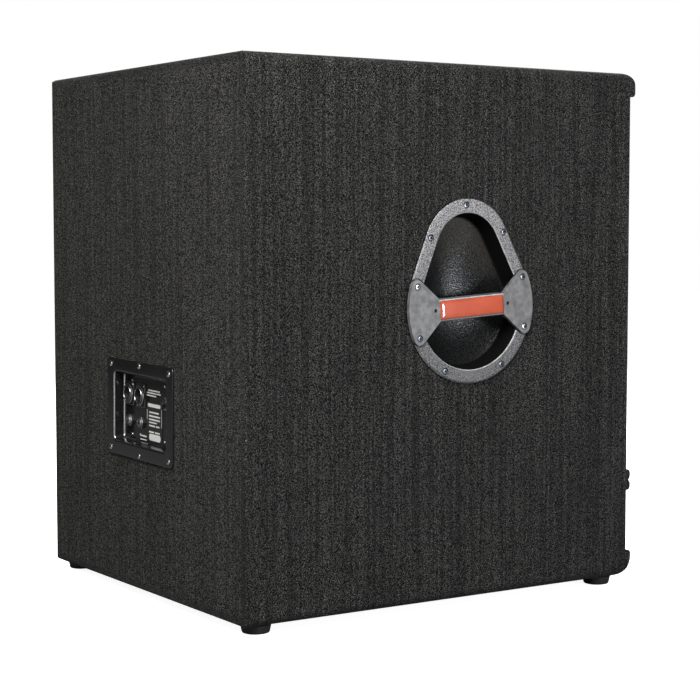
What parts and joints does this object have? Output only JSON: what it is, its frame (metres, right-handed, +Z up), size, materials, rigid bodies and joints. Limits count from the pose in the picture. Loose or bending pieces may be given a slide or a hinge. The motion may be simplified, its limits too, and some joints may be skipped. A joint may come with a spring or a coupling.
{
  "type": "subwoofer cabinet",
  "caption": "Carpet-covered bass-reflex subwoofer box: grille and slot port in front, recessed bar handles in the sides, jack plate behind, rubber feet.",
  "frame": {"origin": "on the floor, under the middle of the box's outline", "axes": "+Z up, front with grille and port toward -Y, jack plate toward +Y, +X across the width"},
  "size_m": [0.565, 0.615, 0.696],
  "materials": {
    "carpet": "ribbed needle-felt carpet, matt",
    "plywood": "birch plywood, sealed",
    "grille_steel": "black powder coat, fine texture",
    "zinc": "bright zinc plate",
    "rubber": "matt black",
    "handle_plastic": "grained dark grey moulding",
    "bar_plastic": "smooth dark grey moulding",
    "black_plastic": "satin black moulding",
    "plate_plastic": "gloss black moulding",
    "badge": "clear-domed red, blank",
    "basket_alloy": "black painted casting",
    "cone_paper": "treated paper pulp, matt",
    "spider_cloth": "resin-treated cloth",
    "ferrite": "sintered ferrite, dark grey",
    "copper": "enamelled copper wire",
    "circuit_board": "green solder mask",
    "label": "blank pale print on black",
    "cable_sheath": "black sheath"
  },
  "bodies": {
    "root": {"back_panel": "plywood", "bottom_panel": "plywood", "bottom_rail": "plywood", "breaker_body": "black_plastic", "carpet_cover": "carpet", "carpet_rear": "carpet", "crossover_board": "circuit_board", "crossover_capacitor": "black_plastic", "crossover_coil": "copper", "foot_front_left": "rubber", "foot_front_right": "rubber", "foot_rear_left": "rubber", "foot_rear_right": "rubber", "foot_screw_front_left": "zinc", "foot_screw_front_right": "zinc", "foot_screw_rear_left": "zinc", "foot_screw_rear_right": "zinc", "front_baffle": "plywood", "grille": "grille_steel", "handle_badge_left": "badge", "handle_badge_right": "badge", "handle_bar_left": "bar_plastic", "handle_bar_right": "bar_plastic", "handle_cup_left": "handle_plastic", "handle_cup_right": "handle_plastic", "input_cable": "cable_sheath", "jack_plate": "plate_plastic", "left_panel": "plywood", "mid_rail": "plywood", "phone_jack_1": "black_plastic", "phone_jack_2": "black_plastic", "plate_screw_1": "zinc", "plate_screw_2": "zinc", "plate_screw_3": "zinc", "plate_screw_4": "zinc", "plate_screw_5": "zinc", "plate_screw_6": "zinc", "pole_socket": "black_plastic", "port_divider": "plywood", "port_shelf": "plywood", "rating_label": "label", "right_panel": "plywood", "speaker_cable": "cable_sheath", "speaker_socket_1": "black_plastic", "speaker_socket_2": "black_plastic", "top_panel": "plywood", "top_rail": "plywood", "window_brace": "plywood", "woofer_back_plate": "zinc", "woofer_basket": "basket_alloy", "woofer_gasket": "rubber", "woofer_magnet": "ferrite", "woofer_spider": "spider_cloth", "woofer_surround": "rubber", "woofer_terminal": "black_plastic", "woofer_top_plate": "zinc"},
    "cone": {"woofer_cone": "cone_paper", "woofer_dust_cap": "cone_paper", "woofer_voice_coil": "copper"},
    "button": {"reset_button": "black_plastic"}
  },
  "joints": [
    {"name": "cone_travel", "type": "slide", "parent": "root", "child": "cone", "axis": [0, -1, 0], "range_m": [-0.009, 0.009], "stiffness_N_per_m": 2500, "deforming": ["woofer_surround", "woofer_spider"]},
    {"name": "reset_button", "type": "slide", "parent": "root", "child": "button", "axis": [0, -1, 0], "range_m": [0, 0.003], "stiffness_N_per_m": 300}
  ]
}
